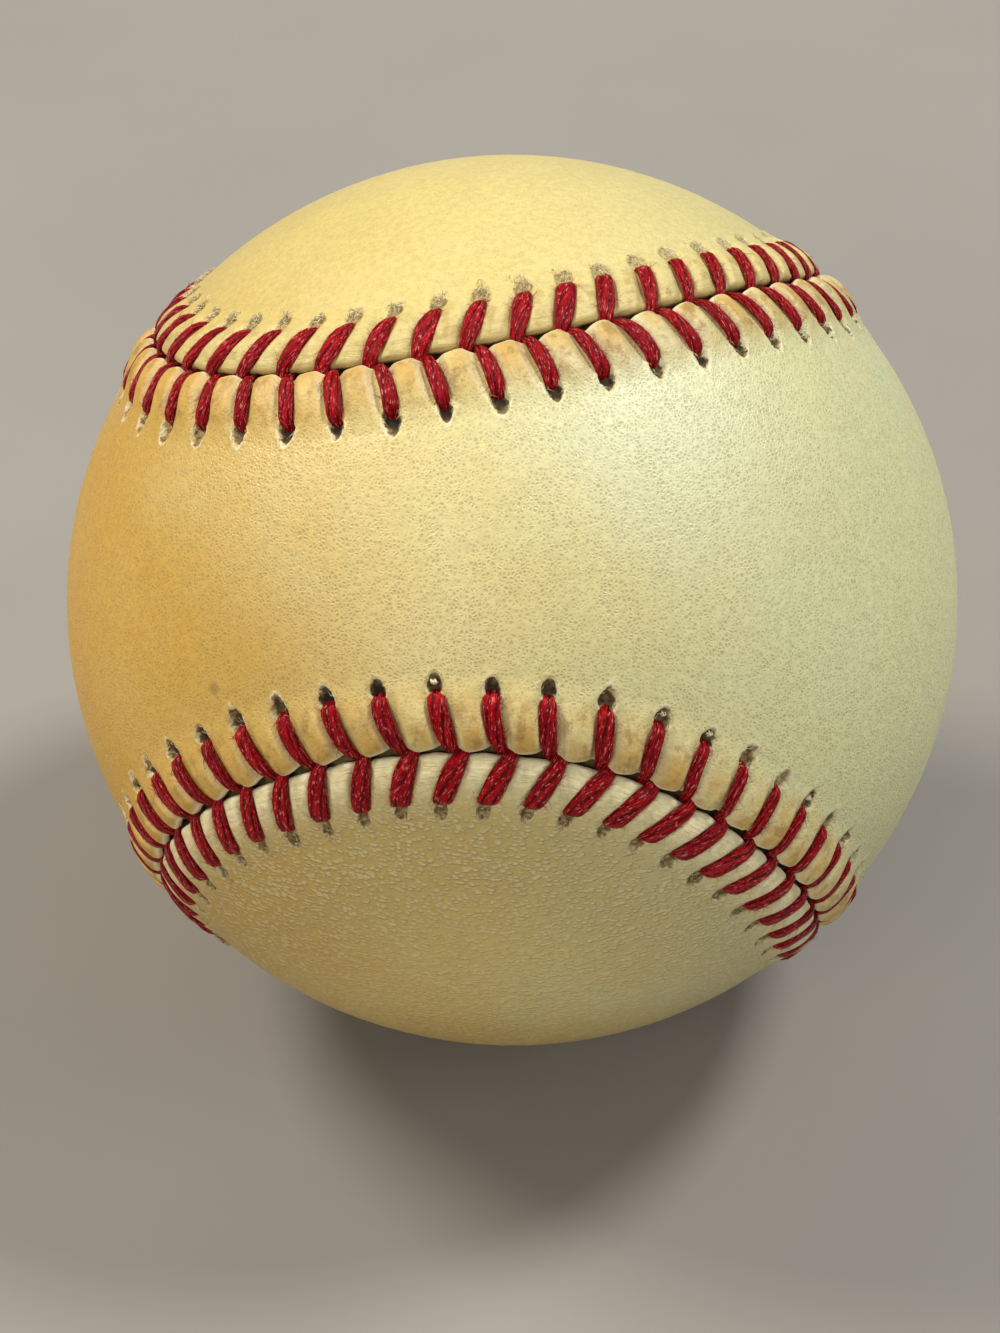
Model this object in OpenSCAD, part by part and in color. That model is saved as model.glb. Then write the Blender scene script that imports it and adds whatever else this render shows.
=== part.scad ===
// A sewn leather baseball: a cork and rubber pill, four windings of yarn, a film of glue,
// two figure-eight leather panels and the one thread that sews them together.
// The origin is the middle of the ball, +Z is up as the ball lies, and +Y is away from the viewer.

/* [Pill] */
// Diameter of the cork and rubber core
core_d = 20.6; // [16:0.1:24]
// Thickness of the black rubber half shells round the core
inner_shell_t = 4; // [3:0.05:5]
// Thickness of the rubber gasket between the two black half shells
gasket_t = 1; // [0.5:0.05:2]
// Thickness of the red rubber half shells over the black ones
outer_shell_t = 3.15; // [2:0.05:4.5]

/* [Windings] */
// Depth of the first winding, of thick grey wool
thick_wool_t = 13.85; // [11:0.05:16]
// Depth of the second winding, of white wool
white_wool_t = 1.8; // [1:0.05:3]
// Depth of the third winding, of thin grey wool
thin_wool_t = 2.2; // [1:0.05:3.5]
// Depth of the fine yarn that finishes the wound ball
finishing_t = 0.35; // [0.2:0.05:0.8]
// Thickness of the glue over the yarn
glue_t = 0.1; // [0.05:0.01:0.3]

/* [Leather] */
// Thickness of the leather
leather_t = 1.15; // [1.05:0.05:1.5]
// Room left under the leather, so that its flat facets stay clear of the glue
bed_gap = 0.32; // [0.32:0.01:0.4]

/* [Seam line] */
// Main swing of the seam above and below the equator, in degrees
seam_rise = 61.4; // [60:0.1:63]
// Swing three times as fast, which rounds the ends of the panels, in degrees
seam_round = 5.4; // [4:0.1:6]
// Main swing of the seam to and fro along the equator, in degrees
seam_sway = 26.8; // [25:0.1:28]
// Swing along the equator twice as fast, which narrows the waists, in degrees
seam_waist = 4.7; // [3:0.1:5]
// Lag of the to and fro swing, from the way that this ball's leather was drawn, in degrees
seam_skew = 6; // [0:0.5:8]

/* [Stitching] */
// Number of stitches along each side of the seam
stitch_count = 108; // [100:4:112]
// How far the stitches run ahead at one waist and lag at the next, as a share of a stitch
drift_share = 0.31; // [0:0.01:0.4]
// Width of the slit between the panels
slit_w = 0.56; // [0.5:0.02:0.7]
// Distance from the middle of the slit to the middle of a needle hole
hole_reach = 4.75; // [4.4:0.05:5.1]
// Length of a needle hole, across the seam
hole_l = 1.4; // [1.2:0.05:1.6]
// Width of a needle hole, along the seam
hole_w = 1; // [0.9:0.05:1.2]

/* [Lips] */
// Height of the leather's lip over the smooth ball, halfway between two stitches
lip_h = 0.7; // [0.4:0.05:0.75]
// Height of the lip under a stitch, where the thread draws it down
lip_drawn_h = 0.1; // [0.05:0.01:0.15]
// Distance from the middle of the slit to the top of the lip
crest_reach = 1.7; // [1.4:0.05:2]
// Distance from the middle of the slit to the outer foot of the lip
foot_reach = 3.5; // [3.2:0.05:3.7]
// Distance from the middle of the slit to where the leather lies smooth
rim_reach = 6; // [5.9:0.05:6.6]
// Height of the tunnel under the lips that the thread runs in
tunnel_h = 0.6; // [0.58:0.01:0.7]

/* [Thread] */
// Width of the thread where it lies flat over a lip
thread_w = 1.3; // [1:0.05:1.4]
// Thickness of the thread where it lies over a lip
thread_t = 0.6; // [0.4:0.05:0.7]
// Width of the thread where a hole or the slit pinches it
pinched_w = 0.75; // [0.6:0.05:0.8]
// Thickness of the thread in a hole, in the slit and under the leather
pinched_t = 0.35; // [0.25:0.01:0.38]
// Clearance between the thread and the faces that it passes
thread_gap = 0.15; // [0.1:0.01:0.16]

/* [Lie] */
// Turn of the ball about the X axis as it lies, made first, in degrees
lie_x = -19.9; // [-180:0.1:180]
// Turn about the Y axis, made second, in degrees
lie_y = -44.8; // [-90:0.1:90]
// Turn about the Z axis, made last, in degrees
lie_z = 93; // [-180:0.1:180]

/* [Hidden] */

// Facets of a full circle in the round layers
$fn = 96;

// Outer radius of each layer, from the middle out
core_r = core_d / 2;
inner_shell_r = core_r + inner_shell_t;
pill_r = inner_shell_r + outer_shell_t;
thick_wool_r = pill_r + thick_wool_t;
white_wool_r = thick_wool_r + white_wool_t;
thin_wool_r = white_wool_r + thin_wool_t;
finishing_r = thin_wool_r + finishing_t;
glue_r = finishing_r + glue_t;
ball_r = glue_r + leather_t;
// Side of a block that is larger than the ball
block = 3 * ball_r;

// The two panels are told apart by the side of the seam that they lie on
PANEL_A = 1;
PANEL_B = -1;

// Fastest swing of the seam along the equator, which trims the lobes, in degrees
seam_trim = 1;
// Turn of the seam's swing over which its direction is measured, in degrees
turn_step = 1;
// One full lap of the seam, in degrees of its swing
lap = 720;

// Places along the stitch's own pitch, as shares of it
slit_share_a = 0.09;
slit_share_b = -0.15;
hole_share_a = 0.33;
hole_share_b = 0.4;

// How far each panel's spine reaches from the middle of its waist, in degrees
spine_reach = 112;
// Rings of facets between the edge of the smooth field and the spine, as shares of the way:
// the outer ones have a point at every stitch, and the inner ones at every second stitch
outer_field_shares = [1 / 5, 2 / 5];
inner_field_shares = [3 / 5, 4 / 5];
// Share of the lip's height that is left at its foot, and beside the holes
foot_share = 0.5;
beside_share = 0.15;
// Heights over the smooth ball of the slit's edge, between stitches and at one
edge_h = lip_drawn_h;
edge_drawn_h = -lip_drawn_h / 2;
// Distance from the middle of the slit to the smooth field of the panel
field_reach = 3 * rim_reach / 2;

// Heights over the smooth ball of the thread's middle line, along its route
under_h = thread_gap + pinched_t / 2 - leather_t;
hole_h = thread_gap + pinched_t / 2;
crest_h = lip_drawn_h + thread_gap + thread_t / 2 + lip_h / 8;
slit_h = edge_h + thread_gap / 2 + pinched_t / 2;
// Share of its next underground run that each end of the thread is tucked along
tail_share = 0.4;

function unit(v) = v / norm(v);

// Direction of the seam from the middle of the ball, at a turn of its swing
function seam_direction(turn) =
    let (
        latitude = seam_rise * cos(turn) + seam_round * cos(3 * turn),
        longitude = -(turn / 2 + seam_sway * sin(2 * turn - seam_skew)
            + seam_waist * sin(4 * turn) + seam_trim * sin(6 * turn))
    )
    [cos(latitude) * cos(longitude), cos(latitude) * sin(longitude), sin(latitude)];

// Length of the seam from its start, with the turn reached there
arc_table = [
    for (
        turn = 0, length = 0;
        turn <= lap;
        length = length + norm(seam_direction(turn + turn_step) - seam_direction(turn)) * ball_r,
        turn = turn + turn_step
    )
    [length, turn]
];
seam_length = arc_table[len(arc_table) - 1][0];
pitch = seam_length / stitch_count;

// Turn of the seam's swing at a stitch number, which may hold a fraction
function turn_at(stitch) =
    let (
        drifted = stitch + drift_share * cos(360 * stitch / stitch_count),
        wrapped = drifted - stitch_count * floor(drifted / stitch_count)
    )
    lookup(wrapped * pitch, arc_table);

// Direction of travel along the seam at a stitch number
function travel_at(stitch) =
    let (turn = turn_at(stitch))
    unit(seam_direction(turn + turn_step) - seam_direction(turn - turn_step));

// Direction from the middle of the ball to a place beside the seam, to the right of its travel
function direction_beside(stitch, reach) =
    let (
        on_seam = seam_direction(turn_at(stitch)),
        across = cross(travel_at(stitch), on_seam),
        angle = reach / ball_r * 180 / PI
    )
    on_seam * cos(angle) + across * sin(angle);

// Stitches lean: their slit end lags behind their hole
function lean(side, reach) =
    let (
        slit = side == PANEL_A ? slit_share_a : slit_share_b,
        hole = side == PANEL_A ? hole_share_a : hole_share_b
    )
    slit + (hole - slit) * min(reach / hole_reach, 1);

// Point on one side of the seam: a stitch number, a distance from the slit and a height
function beside(side, stitch, reach, height) =
    (ball_r + height) * direction_beside(stitch + lean(side, reach), side * reach);

// One of the black or red half shells, with the top or the bottom half kept
module half_shell(inside_r, outside_r, gap, is_upper) {
    difference() {
        sphere(r = outside_r);
        sphere(r = inside_r);
        mirror([0, 0, is_upper ? 0 : 1])
            translate([-block / 2, -block / 2, gap / 2 - block])
                cube(block);
    }
}

module layer(inside_r, outside_r) {
    difference() {
        sphere(r = outside_r);
        sphere(r = inside_r);
    }
}

module cork_core() {
    color("#8a5a3c") sphere(r = core_r);
}

module inner_shell_upper() {
    color("#26262a") half_shell(core_r, inner_shell_r, gasket_t, true);
}

module inner_shell_lower() {
    color("#26262a") half_shell(core_r, inner_shell_r, gasket_t, false);
}

module inner_gasket() {
    color("#b43a34")
        difference() {
            intersection() {
                sphere(r = inner_shell_r);
                cylinder(r = ball_r, h = gasket_t, center = true);
            }
            sphere(r = core_r);
        }
}

module outer_shell_upper() {
    color("#a8322e") half_shell(inner_shell_r, pill_r, 0, true);
}

module outer_shell_lower() {
    color("#a8322e") half_shell(inner_shell_r, pill_r, 0, false);
}

module thick_wool_winding() {
    color("#8d8b86") layer(pill_r, thick_wool_r);
}

module white_wool_winding() {
    color("#e9e4d6") layer(thick_wool_r, white_wool_r);
}

module thin_wool_winding() {
    color("#9b9892") layer(white_wool_r, thin_wool_r);
}

module finishing_winding() {
    color("#f2efe6") layer(thin_wool_r, finishing_r);
}

module adhesive_coat() {
    color("#e3d7b0") layer(finishing_r, glue_r);
}

// Number of points in each ring of a panel's top or underside, from the slit to the spine.
// The underside has no ring under the crest of the lip.
function spine_skip(side) = side == PANEL_A ? (stitch_count / 4) % 2 : 0;
function ring_counts(side, is_top) =
    let (n = stitch_count)
    [2 * n, is_top ? 2 * n : 0, 2 * n, n, 4 * n, 2 * n, n, n, n, n / 2, n / 2,
        n / 4 + 1 - spine_skip(side)];

function ring_starts(side, is_top, first) =
    let (counts = ring_counts(side, is_top))
    [for (i = 0, at = first; i < len(counts); at = at + counts[i], i = i + 1) at];

// Ring of two points a stitch: one on the stitch, and one halfway to the next
function half_ring(side, reach, drawn_h, free_h) = [
    for (i = [0 : 2 * stitch_count - 1])
    beside(side, i / 2, reach, i % 2 == 0 ? drawn_h : free_h)
];

// The four corners of each needle hole, in the order of a face seen from outside
function hole_corners(side, height) = [
    for (i = [0 : stitch_count - 1])
    for (corner = [[-1, -1], [1, -1], [1, 1], [-1, 1]])
    (ball_r + height) * direction_beside(
        i + lean(side, hole_reach) + corner[0] * hole_w / pitch / 2,
        side * (hole_reach + corner[1] * hole_l / 2)
    )
];

// Direction of the spine, the middle line of a panel, at a place numbered from its waist
function spine_direction(side, place) =
    let (angle = spine_reach * sin(360 * place / stitch_count))
    side == PANEL_A ? [0, -sin(angle), cos(angle)] : [sin(angle), 0, -cos(angle)];

// Place along the spine that faces a stitch
function spine_place(side, stitch) =
    let (quarter = stitch_count / 4, shift = side == PANEL_A ? quarter : 2 * quarter)
    quarter - abs((stitch + shift) % stitch_count - 2 * quarter);

function spine_index(side, i) = floor((spine_place(side, 2 * i) + stitch_count / 4) / 2);

function field_ring(side, share, step, height) = [
    for (i = [0 : step : stitch_count - 1])
    let (
        near = unit(beside(side, i, field_reach, 0)),
        far = spine_direction(side, spine_place(side, i))
    )
    (ball_r + height) * unit(near * (1 - share) + far * share)
];

// All points of the top of a panel, or of its underside
function sheet_points(side, is_top) =
    let (
        below = tunnel_h - leather_t,
        field_h = is_top ? 0 : bed_gap - leather_t
    )
    concat(
        is_top ? half_ring(side, slit_w / 2, edge_drawn_h, edge_h)
            : half_ring(side, slit_w / 2, below, below),
        is_top ? half_ring(side, crest_reach, lip_drawn_h, lip_h) : [],
        is_top ? half_ring(side, foot_reach, 0, foot_share * lip_h)
            : half_ring(side, foot_reach, below, below),
        [
            for (i = [0 : stitch_count - 1])
            beside(side, i + 1 / 2, hole_reach, is_top ? beside_share * lip_h : below)
        ],
        hole_corners(side, is_top ? 0 : below),
        half_ring(side, rim_reach, is_top ? 0 : below, is_top ? 0 : below),
        [for (i = [0 : stitch_count - 1]) beside(side, i, field_reach, field_h)],
        [for (share = outer_field_shares) each field_ring(side, share, 1, field_h)],
        [for (share = inner_field_shares) each field_ring(side, share, 2, field_h)],
        [
            for (i = [0 : stitch_count / 4 - spine_skip(side)])
            (ball_r + field_h) * spine_direction(
                side, 2 * i - stitch_count / 4 + spine_skip(side)
            )
        ]
    );

// Faces between two rings of the same count
function band(a, b, count) = [
    for (i = [0 : count - 1])
    let (j = (i + 1) % count)
    each [[a + i, a + j, b + j], [a + i, b + j, b + i]]
];

// Faces between a ring and the next one in, which has half as many points
function halving_band(a, b, count) = [
    for (i = [0 : count - 1])
    let (i2 = 2 * i, j = (i + 1) % count, j2 = 2 * j)
    each [[a + i2, a + i2 + 1, b + i], [a + i2 + 1, b + j, b + i], [a + i2 + 1, a + j2, b + j]]
];

// Faces round each needle hole, out to the rings on either side of the holes
function hole_band(foot, mid, hole, rim) = [
    for (i = [0 : stitch_count - 1])
    let (
        n = stitch_count,
        before = (2 * i + 2 * n - 1) % (2 * n),
        at = 2 * i,
        after = at + 1,
        mid_before = mid + (i + n - 1) % n,
        mid_after = mid + i,
        c = hole + 4 * i
    )
    each [
        [foot + before, foot + at, c], [foot + at, c + 1, c],
        [foot + at, foot + after, c + 1], [foot + after, mid_after, c + 1],
        [mid_after, c + 2, c + 1], [mid_after, rim + after, c + 2],
        [rim + after, rim + at, c + 2], [rim + at, c + 3, c + 2],
        [rim + at, rim + before, c + 3], [rim + before, mid_before, c + 3],
        [mid_before, c, c + 3], [mid_before, foot + before, c]
    ]
];

// Faces from the innermost ring to the spine, where the two halves of the panel meet
function spine_band(side, ring, spine) =
    let (count = stitch_count / 2)
    [
        for (i = [0 : count - 1])
        let (
            j = (i + 1) % count,
            near = spine + spine_index(side, i),
            far = spine + spine_index(side, j)
        )
        each near == far ? [[ring + i, ring + j, far]]
            : [[ring + i, ring + j, far], [ring + i, far, near]]
    ];

function sheet_faces(side, is_top, first) =
    let (s = ring_starts(side, is_top, first), n = stitch_count)
    concat(
        is_top ? concat(band(s[0], s[1], 2 * n), band(s[1], s[2], 2 * n))
            : band(s[0], s[2], 2 * n),
        hole_band(s[2], s[3], s[4], s[5]),
        halving_band(s[5], s[6], n),
        band(s[6], s[7], n),
        band(s[7], s[8], n),
        halving_band(s[8], s[9], n / 2),
        band(s[9], s[10], n / 2),
        spine_band(side, s[10], s[11])
    );

// Faces that close the slit's edge and the walls of the holes
function wall_faces(top, under) =
    let (n = stitch_count)
    concat(
        band(under[0], top[0], 2 * n),
        [
            for (i = [0 : n - 1])
            for (j = [0 : 3])
            let (
                a = top[4] + 4 * i + j,
                b = top[4] + 4 * i + (j + 1) % 4,
                c = under[4] + 4 * i + (j + 1) % 4,
                d = under[4] + 4 * i + j
            )
            each [[a, b, c], [a, c, d]]
        ]
    );

function turned_over(faces) = [for (f = faces) [f[2], f[1], f[0]]];

module cover_panel(side) {
    top_points = sheet_points(side, true);
    under_first = len(top_points);
    faces = concat(
        sheet_faces(side, true, 0),
        turned_over(sheet_faces(side, false, under_first)),
        wall_faces(ring_starts(side, true, 0), ring_starts(side, false, under_first))
    );
    rotate([lie_x, lie_y, lie_z])
        polyhedron(
            points = concat(top_points, sheet_points(side, false)),
            faces = side == PANEL_A ? faces : turned_over(faces),
            convexity = 10
        );
}

module cover_panel_a() {
    color("#e0d28c") cover_panel(PANEL_A);
}

module cover_panel_b() {
    color("#e6dba0") cover_panel(PANEL_B);
}

// The thread's route at one stitch: up through the hole, over the lip and down the slit.
// Each stage holds a distance from the slit, a height, a width and a thickness.
thread_stages = [
    [hole_reach, under_h, pinched_w, pinched_t],
    [hole_reach, hole_h, pinched_w, pinched_t],
    [crest_reach, crest_h, thread_w, thread_t],
    [0, slit_h, pinched_w, pinched_t],
    [0, under_h, pinched_w, pinched_t]
];

// A place on the route holds a point, the travel of the seam there, a width and a thickness
function thread_place(side, stitch, stage) =
    [
        beside(side, stitch, stage[0], stage[1]),
        travel_at(stitch + lean(side, stage[0])),
        stage[2],
        stage[3]
    ];

// One needle's half of the thread. It changes sides after every stitch.
function needle_run(first_side) = [
    for (i = [0 : stitch_count - 1])
    let (side = i % 2 == 0 ? first_side : -first_side)
    for (stage = thread_stages)
    thread_place(side, stitch_count - 1 - i, stage)
];

// The tucked end of one needle's half, on its way under the leather to the first stitch
function tail(first_side) =
    let (
        side = stitch_count % 2 == 0 ? -first_side : first_side,
        slit = thread_place(side, 0, thread_stages[4]),
        hole = thread_place(-side, -1, thread_stages[0])
    )
    [[slit[0] * (1 - tail_share) + hole[0] * tail_share, slit[1], slit[2], slit[3]]];

function reversed(list) = [for (i = [len(list) - 1 : -1 : 0]) list[i]];

// The whole thread: one needle's half reversed, the middle that passes under the seam,
// and the other needle's half
function thread_route() =
    let (
        half_a = concat(needle_run(PANEL_A), tail(PANEL_A)),
        half_b = concat(needle_run(PANEL_B), tail(PANEL_B)),
        from = half_a[0],
        to = half_b[0],
        middle = unit(from[0] + to[0]) * (ball_r + under_h)
    )
    concat(reversed(half_a), [[middle, from[1], pinched_w, pinched_t]], half_b);

module seam_thread() {
    route = thread_route();
    last = len(route) - 1;
    points = [
        for (i = [0 : last])
        let (
            arriving = unit(route[max(i, 1)][0] - route[max(i, 1) - 1][0]),
            leaving = unit(route[min(i, last - 1) + 1][0] - route[min(i, last - 1)][0]),
            tangent = unit(arriving + leaving),
            seam = route[i][1],
            broad = unit(seam - tangent * (seam * tangent)) * route[i][2] / 2,
            thick = unit(cross(tangent, broad)) * route[i][3] / 2
        )
        each [
            route[i][0] + broad + thick, route[i][0] - broad + thick,
            route[i][0] - broad - thick, route[i][0] + broad - thick
        ]
    ];
    sides = [
        for (i = [0 : last - 1])
        for (j = [0 : 3])
        let (
            a = 4 * i + j,
            d = 4 * i + (j + 1) % 4
        )
        each [[a, a + 4, d + 4], [a, d + 4, d]]
    ];
    first_cap = [[0, 1, 2], [0, 2, 3]];
    last_cap = [for (f = turned_over(first_cap)) [for (v = f) v + 4 * last]];
    color("#a01428")
        rotate([lie_x, lie_y, lie_z])
            polyhedron(points = points, faces = concat(sides, first_cap, last_cap), convexity = 10);
}

cork_core();
inner_shell_upper();
inner_shell_lower();
inner_gasket();
outer_shell_upper();
outer_shell_lower();
thick_wool_winding();
white_wool_winding();
thin_wool_winding();
finishing_winding();
adhesive_coat();
cover_panel_a();
cover_panel_b();
seam_thread();
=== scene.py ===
import math
from functools import reduce

import bpy
import numpy as np
from mathutils import Matrix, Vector
from numpy import cos, pi, sin


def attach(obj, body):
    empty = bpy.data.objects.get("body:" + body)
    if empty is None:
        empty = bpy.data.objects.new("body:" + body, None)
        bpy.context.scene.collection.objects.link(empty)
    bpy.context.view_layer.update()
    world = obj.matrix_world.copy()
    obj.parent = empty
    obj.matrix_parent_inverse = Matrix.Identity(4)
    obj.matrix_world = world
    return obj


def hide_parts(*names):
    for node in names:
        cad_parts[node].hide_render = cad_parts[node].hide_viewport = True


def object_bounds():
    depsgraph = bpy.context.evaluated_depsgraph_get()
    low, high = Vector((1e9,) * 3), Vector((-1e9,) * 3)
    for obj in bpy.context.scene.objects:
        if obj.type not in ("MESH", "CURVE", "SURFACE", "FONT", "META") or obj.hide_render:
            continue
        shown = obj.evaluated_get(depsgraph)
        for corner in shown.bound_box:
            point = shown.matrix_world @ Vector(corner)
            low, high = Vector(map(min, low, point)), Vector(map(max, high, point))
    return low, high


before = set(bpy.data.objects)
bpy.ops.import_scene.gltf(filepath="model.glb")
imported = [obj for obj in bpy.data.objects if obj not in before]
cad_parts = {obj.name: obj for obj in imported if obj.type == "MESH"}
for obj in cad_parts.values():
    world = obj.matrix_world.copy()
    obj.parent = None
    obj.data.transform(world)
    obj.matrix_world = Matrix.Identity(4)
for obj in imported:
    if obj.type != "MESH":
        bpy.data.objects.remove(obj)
cad_low, cad_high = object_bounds()

# Lengths are millimetres, but metres in the materials, the lights and the camera
MM = 0.001

# The seam, as in the CAD source
BALL = 36.9
COUNT = 108
QUARTER = COUNT // 4
NUMBERS = np.arange(COUNT)
RISE, ROUND, SWAY, WAIST, SKEW, TRIM = np.radians((61.4, 5.4, 26.8, 4.7, 6.0, 1.0))
SPINE_REACH = math.radians(112)
# The two panels, as the sign of the distance from the seam
A, B = 1, -1
# How far the stitches drift along the seam, and lean at the slit and at the hole, in stitches
DRIFT = 0.31
LEAN = {A: (0.09, 0.33), B: (-0.15, 0.4)}
# How far from the slit the needle holes are, and the panel's open field
HOLE_REACH = 4.75
FIELD_REACH = 9.0
# The leather's smooth face stays just inside the CAD's box. Heights in this script are over it.
SKIN = min(min(-c for c in cad_low), min(cad_high)) / MM - 0.005

X, Y, Z = range(3)


def turned(axis, degrees):
    """The matrix that turns a point round an axis."""
    c, s = math.cos(math.radians(degrees)), math.sin(math.radians(degrees))
    i, j = (axis + 1) % 3, (axis + 2) % 3
    rows = np.eye(3)
    rows[i, i] = rows[j, j] = c
    rows[j, i], rows[i, j] = s, -s
    return rows


# How the ball lies
LIE = turned(Z, 93) @ turned(Y, -44.8) @ turned(X, -19.9)


def unit(v):
    return v / np.linalg.norm(v, axis=-1, keepdims=True)


def seam_direction(turn):
    """The direction from the ball's middle to the seam."""
    lat = RISE * cos(turn) + ROUND * cos(3 * turn)
    lon = -(turn / 2 + SWAY * sin(2 * turn - SKEW) + WAIST * sin(4 * turn) + TRIM * sin(6 * turn))
    return np.stack([cos(lat) * cos(lon), cos(lat) * sin(lon), sin(lat)], -1)


DEGREE = np.radians(1)
TURNS = np.radians(np.arange(2 * 360 + 1))
STEPS = np.linalg.norm(np.diff(seam_direction(TURNS), axis=0), axis=1) * BALL
LENGTHS = np.concatenate([[0], np.cumsum(STEPS)])
PITCH = LENGTHS[-1] / COUNT


def turn_at(k):
    drifted = k + DRIFT * cos(2 * pi * k / COUNT)
    return np.interp((drifted % COUNT) * PITCH, LENGTHS, TURNS)


def travel_at(k):
    turn = turn_at(k)
    return unit(seam_direction(turn + DEGREE) - seam_direction(turn - DEGREE))


def lean(side, w):
    slit, hole = LEAN[side]
    return slit + (hole - slit) * np.minimum(w / HOLE_REACH, 1)


def beside(side, k, w, h):
    """Points on one side of the seam, from a stitch number, a distance from the slit and a height."""
    k, w, h = np.broadcast_arrays(np.asarray(k, float), np.asarray(w, float), np.asarray(h, float))
    leaned = k + lean(side, w)
    on_seam = seam_direction(turn_at(leaned))
    across = np.cross(travel_at(leaned), on_seam)
    angle = (side * w / BALL)[..., None]
    return (SKIN + h)[..., None] * (on_seam * cos(angle) + across * sin(angle))


def spine_place(side, k):
    """The place, in stitches, that a stitch faces on the line down the panel's middle."""
    shift = QUARTER if side == A else 2 * QUARTER
    return QUARTER - np.abs((k + shift) % COUNT - 2 * QUARTER)


def spine_direction(side, place):
    angle = SPINE_REACH * sin(2 * pi * place / COUNT)
    zero = np.zeros_like(angle)
    if side == A:
        return np.stack([zero, -sin(angle), cos(angle)], -1)
    return np.stack([sin(angle), zero, -cos(angle)], -1)


# The hash that the seeded noise is made from
AXIS_PRIMES = (73856093, 19349663, 83492791)
SEED_PRIME = 2654435761
MIXERS = ((15, 2246822519), (13, 3266489917))
WORD, FRACTION = 0xFFFFFFFF, 0xFFFFFF


def lattice(cell, seed):
    """A random number from -1 to 1 for each whole-numbered place."""
    i, j, k = (cell[..., axis] * prime for axis, prime in enumerate(AXIS_PRIMES))
    n = (i ^ j ^ k ^ (seed * SEED_PRIME)) & WORD
    for shift, mixer in MIXERS:
        n = ((n ^ (n >> shift)) * mixer) & WORD
    return ((n ^ (n >> 16)) & FRACTION) / FRACTION * 2 - 1


def eased(t):
    return t * t * (3 - 2 * t)


def noise(points, size, seed):
    """Smooth noise from -1 to 1, with features of the given size."""
    q = np.asarray(points, float) / size + 1000
    cell = np.floor(q)
    f = eased(q - cell)
    total = 0
    for corner in np.ndindex(2, 2, 2):
        share = np.where(corner, f, 1 - f).prod(-1)
        total = total + share * lattice(cell.astype(np.int64) + corner, seed)
    return total


def smooth(low, high, x):
    return eased(np.clip((x - low) / (high - low), 0, 1))


def fade(low, high, x):
    return 1 - smooth(low, high, x)


def peak(x, middle, width):
    return np.exp(-((x - middle) / width) ** 2)


def stretch(start, full, fading, end, k=NUMBERS):
    """1 at the stitches from full to fading, and 0 outside start to end. It may run past stitch 0."""
    if start > end:
        return smooth(start, full, k) + 1 - smooth(fading, end, k)
    return smooth(start, full, k) * fade(fading, end, k)


def upper_seam(k):
    return stretch(88, 92, 20, 24, k)


def along(values, k):
    """A value for each stitch, blended smoothly from one to the next."""
    n = len(values)
    q = np.asarray(k, float) * n / COUNT
    i = np.floor(q).astype(int)
    f = eased(q - i)
    return values[i % n] * (1 - f) + values[(i + 1) % n] * f


def each(values, k):
    return values[np.round(k).astype(int) % COUNT]


# Differences that hand sewing leaves from stitch to stitch: lowest, highest, and how many to a stitch
DIFFERENCES = {
    "puff": (0.86, 1.14, 2), "edge": (-0.07, 0.07, 4), "hole_x": (-0.1, 0.1, 1),
    "hole_y": (-0.15, 0.15, 1), "hole_size": (0.88, 1.14, 1), "swing": (-0.05, 0.05, 1),
    "bow": (-0.035, 0.035, 1), "width": (0.93, 1.06, 1), "lift": (-0.03, 0.04, 1)}
SEW_SEED, FUZZ_SEED, TUFT_SEED = 108, 7, 11
rng = np.random.default_rng(SEW_SEED)
VARY = {side: {name: rng.uniform(low, high, many * COUNT) for name, (low, high, many) in DIFFERENCES.items()}
        for side in (A, B)}
HOLE_SHADES = rng.uniform(0.0, 0.25, COUNT)

# Stretches of the seam on which the work differs. The leather stands up fuller between the stitches.
VARY[B]["puff"] *= 1 + 0.3 * stretch(3, 8, 20, 24, np.arange(2 * COUNT) / 2)
# Stitches that run to a point and slip under the leather early
POINTED = {A: np.zeros(COUNT), B: stretch(94, 98, 0, 5)}
# Slimmer stitches
SLIM = {A: 0.2 * stretch(6, 9, 16, 20) + 0.27 * stretch(36, 40, 46, 52) + 0.11 * stretch(95, 98, 6, 9),
        B: 0.24 * stretch(3, 8, 20, 24)}
# Narrower holes
NARROW = {A: np.zeros(COUNT), B: 0.26 * stretch(32, 38, 62, 68)}
# Holes of panel B in which the fibres of the leather stand up, and where they are pressed flat
TUFTED = (NUMBERS <= 22) | (NUMBERS >= 90) | ((NUMBERS >= 66) & (NUMBERS <= 72))
FLAT_TUFTS = stretch(3, 7, 20, 24) * TUFTED
HOLE_DEPTH = {A: np.full(COUNT, 0.55), B: np.where(TUFTED, 0.26, 0.36)}
# How dark each hole is painted, as the shade inside it, from 0 to 1
LIGHT_HOLES = 0.45 * stretch(34, 38, 46, 50) + 0.5 * stretch(96, 98, 103, 106)
HOLE_DARK = {A: 1 - (LIGHT_HOLES + HOLE_SHADES), B: np.where(TUFTED, 0.25, 0.7)}
# Stitches of panel A whose holes hold a white end of yarn, and the radius of each end's strands
WHITE_ENDS = [(53, 0.17), (49, 0.09), (48, 0.13), (45, 0.12)]

# The lip of each panel: its height, its height in the valley under a stitch, the crest's distance from the
# slit, the cut edge's height as a share of the crest's, the roll of the edge, and its crumples
LIP_H = {A: 0.78, B: 0.58}
DRAWN_H = 0.1
CREST = {A: 1.75, B: 2.05}
RIM = 5.9
EDGE_SHARE = {A: 0.58, B: 0.44}
ROLL_W, ROLL_H = {A: 0.55, B: 0.36}, {A: 0.4, B: 0.26}
CRUMPLE_H = {A: 0.035, B: 0.07}
SHOULDER = {A: 0.38, B: 0.2}
# A valley's half width, in stitches, and its end by the holes
VALLEY, VALLEY_END = (0.15, 0.345), (4.2, 5.6)
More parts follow.
